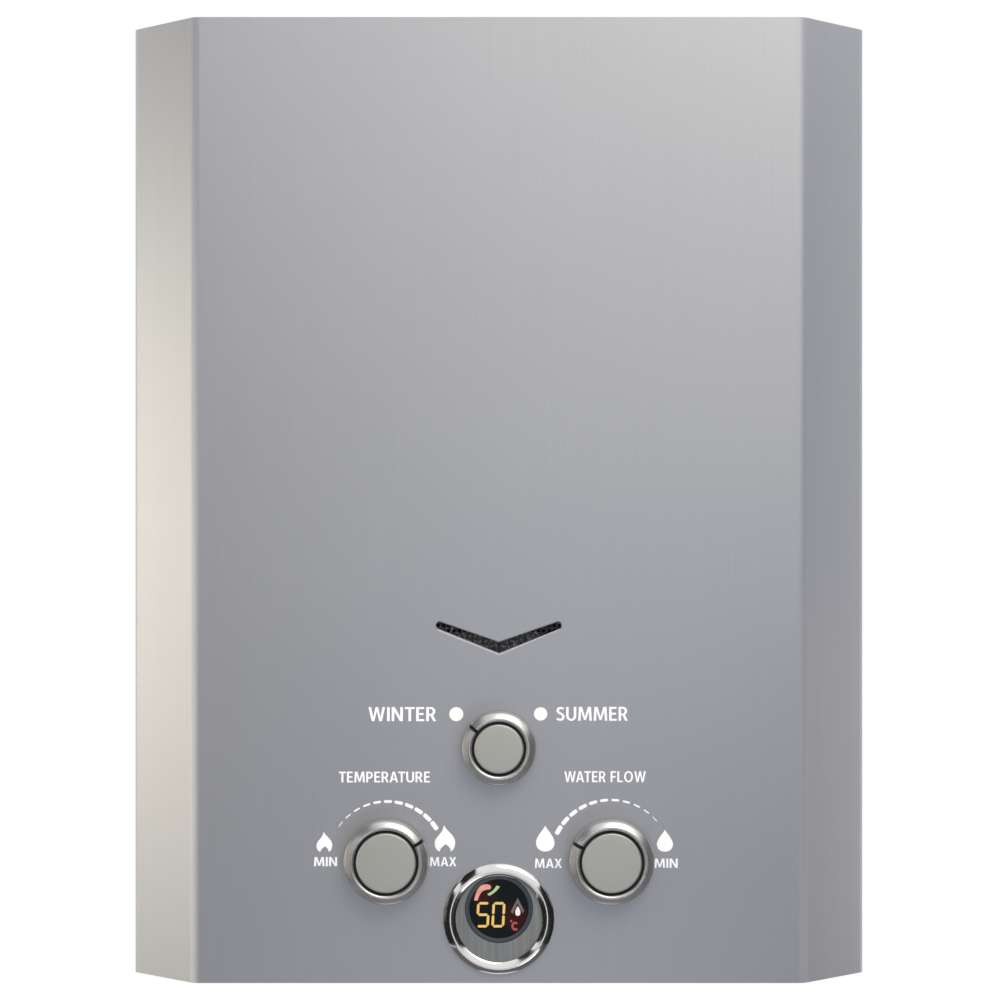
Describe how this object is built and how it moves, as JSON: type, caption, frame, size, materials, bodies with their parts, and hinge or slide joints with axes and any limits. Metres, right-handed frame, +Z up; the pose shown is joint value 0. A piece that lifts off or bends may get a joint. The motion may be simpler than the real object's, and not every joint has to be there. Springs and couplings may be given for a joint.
{
  "type": "gas water heater",
  "caption": "Flat wall-hung instant gas water heater with a bevelled brushed-metal cover, control knobs, a round display and a V-shaped flame window.",
  "frame": {"origin": "middle of the four wall holes, on the wall plane", "axes": "+Z up, +X to the right of someone facing the heater, +Y into the wall; the front panel faces -Y"},
  "size_m": [0.3448, 0.1528, 0.474],
  "materials": {
    "brushed_panel": "satin, vertical grain",
    "galvanised": "matt zinc",
    "steel": "bright",
    "plated_ring": "plated gloss",
    "black_plastic": "fine matt",
    "satin_cap": "satin",
    "brass": "machined",
    "die_cast": "as cast",
    "copper": "drawn copper",
    "rubber": "moulded",
    "display_lens": "clear smoked",
    "display_module": "gloss",
    "circuit_board": "lacquered",
    "ceramic": "glazed",
    "cell_label": "printed sleeve"
  },
  "bodies": {
    "housing": {"front_cover": "brushed_panel", "display_plate": "brushed_panel", "back_plate": "galvanised", "pipe_bracket": "galvanised", "chamber_spacers": "galvanised", "draft_hood": "galvanised", "burner_frame": "galvanised", "flame_guard": "galvanised", "cover_screws": "steel", "housing_screws": "steel", "gas_spring": "steel", "burner_bars": "steel", "thermal_cutout": "steel", "display_bezel": "plated_ring", "display_cup": "black_plastic", "battery_box": "black_plastic", "igniter_box": "black_plastic", "water_switch": "black_plastic", "gland_nuts": "brass", "water_valve_body": "brass", "diaphragm_cover": "brass", "cold_inlet": "brass", "gas_inlet": "brass", "hot_outlet": "brass", "pipe_nuts": "brass", "gas_manifold": "brass", "gas_valve_body": "die_cast", "season_valve_body": "die_cast", "solenoid_case": "die_cast", "heat_chamber": "copper", "exchanger_fins": "copper", "exchanger_tube": "copper", "jacket_coil": "copper", "cold_pipe": "copper", "hot_pipe": "copper", "gas_pipes": "copper", "diaphragm": "rubber", "display_lens": "display_lens", "display_module": "display_module", "display_board": "circuit_board", "electrodes": "ceramic", "batteries": "cell_label"},
    "season_control": {"season_knob_ring": "plated_ring", "season_knob_core": "black_plastic", "season_knob_cap": "satin_cap", "season_spindle": "brass"},
    "temperature_control": {"temperature_knob_ring": "plated_ring", "temperature_knob_core": "black_plastic", "temperature_knob_cap": "satin_cap", "temperature_spindle": "brass"},
    "water_flow_control": {"water_flow_knob_ring": "plated_ring", "water_flow_knob_core": "black_plastic", "water_flow_knob_cap": "satin_cap", "water_flow_spindle": "brass"},
    "push_rod_set": {"push_rod": "steel", "gas_disc": "rubber"},
    "water_switch_lever": {"switch_lever": "steel"},
    "solenoid_core": {"solenoid_plunger": "steel"},
    "battery_door": {"battery_lid": "black_plastic"},
    "drain": {"drain_plug": "brass"}
  },
  "joints": [
    {"name": "season_turn", "type": "hinge", "parent": "housing", "child": "season_control", "pos_m": [0, -0.14, -0.1125], "axis": [0, -1, 0], "range_deg": [-105, 0]},
    {"name": "temperature_turn", "type": "hinge", "parent": "housing", "child": "temperature_control", "pos_m": [-0.051, -0.14, -0.164], "axis": [0, -1, 0], "range_deg": [0, 120]},
    {"name": "water_flow_turn", "type": "hinge", "parent": "housing", "child": "water_flow_control", "pos_m": [0.051, -0.14, -0.164], "axis": [0, -1, 0], "range_deg": [-120, 0]},
    {"name": "push_rod_slide", "type": "slide", "parent": "housing", "child": "push_rod_set", "axis": [-1, 0, 0], "range_m": [0, 0.003], "stiffness_N_per_m": 500, "springref_m": -0.002, "deforming": ["gas_spring"]},
    {"name": "lever_swing", "type": "hinge", "parent": "housing", "child": "water_switch_lever", "pos_m": [-0.01, -0.058, -0.149], "axis": [0, 1, 0], "range_deg": [0, 20]},
    {"name": "solenoid_slide", "type": "slide", "parent": "housing", "child": "solenoid_core", "axis": [-1, 0, 0], "range_m": [0, 0.003], "stiffness_N_per_m": 300, "springref_m": -0.002},
    {"name": "battery_lid_swing", "type": "hinge", "parent": "housing", "child": "battery_door", "pos_m": [0.1153, -0.0043, -0.2138], "axis": [1, 0, 0], "range_deg": [0, 90]},
    {"name": "drain_plug_turn", "type": "hinge", "parent": "housing", "child": "drain", "pos_m": [0.068, -0.058, -0.164], "axis": [1, 0, 0], "range_deg": [0, 360]}
  ],
  "couplings": [
    {"joint": "lever_swing", "follows": "push_rod_slide", "rad_per_m": 105}
  ]
}
